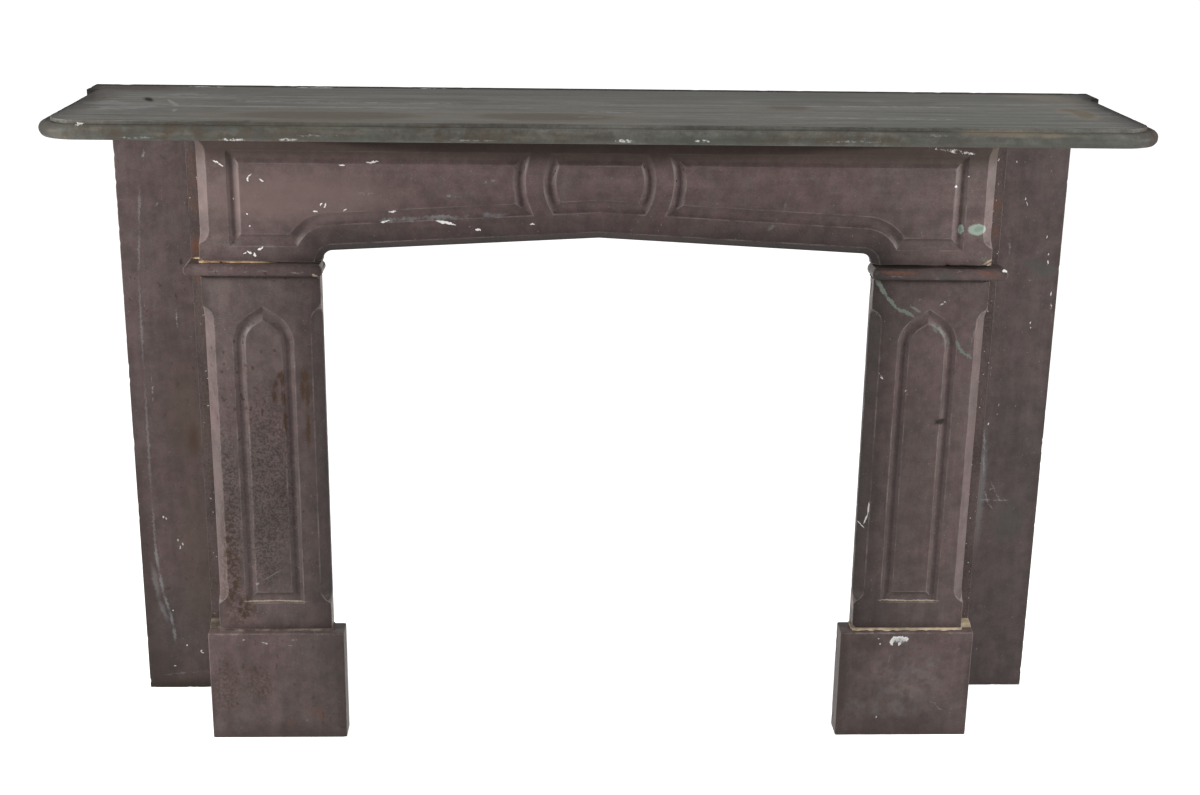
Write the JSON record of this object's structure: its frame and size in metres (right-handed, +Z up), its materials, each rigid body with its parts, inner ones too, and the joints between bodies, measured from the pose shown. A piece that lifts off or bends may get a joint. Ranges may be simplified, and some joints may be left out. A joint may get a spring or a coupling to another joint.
{
  "type": "fireplace mantel",
  "caption": "Slate fireplace mantel: a moulded shelf on a carved frieze with a shallow pointed arch, panelled pilasters on plinths, and side panels that stand against the wall.",
  "frame": {"origin": "on the hearth, middle of the width and of the overall depth", "axes": "+X across the front, -Y faces the room, +Z up"},
  "size_m": [1.517, 0.382, 1.0015],
  "materials": {
    "green_slate": "honed, worn",
    "purple_slate": "honed, worn polish",
    "plaster": "rough plaster",
    "iron": "forged, rusted"
  },
  "bodies": {
    "root": {"shelf": "green_slate", "frieze": "purple_slate", "pilaster_left": "purple_slate", "pilaster_right": "purple_slate", "plinth_left": "purple_slate", "plinth_right": "purple_slate", "capital_left": "purple_slate", "capital_right": "purple_slate", "return_left": "purple_slate", "return_right": "purple_slate", "side_panel_left": "purple_slate", "side_panel_right": "purple_slate", "corner_blocks_left": "purple_slate", "corner_blocks_right": "purple_slate", "shelf_bed": "plaster", "plinth_bed_left": "plaster", "plinth_bed_right": "plaster", "neck_bed_left": "plaster", "neck_bed_right": "plaster", "capital_bed_left": "plaster", "capital_bed_right": "plaster", "return_cramps_left": "iron", "return_cramps_right": "iron", "frieze_cramp_left": "iron", "frieze_cramp_right": "iron", "wall_ties_left": "iron", "wall_ties_right": "iron", "plinth_dowels": "iron", "capital_dowels": "iron"}
  },
  "joints": []
}
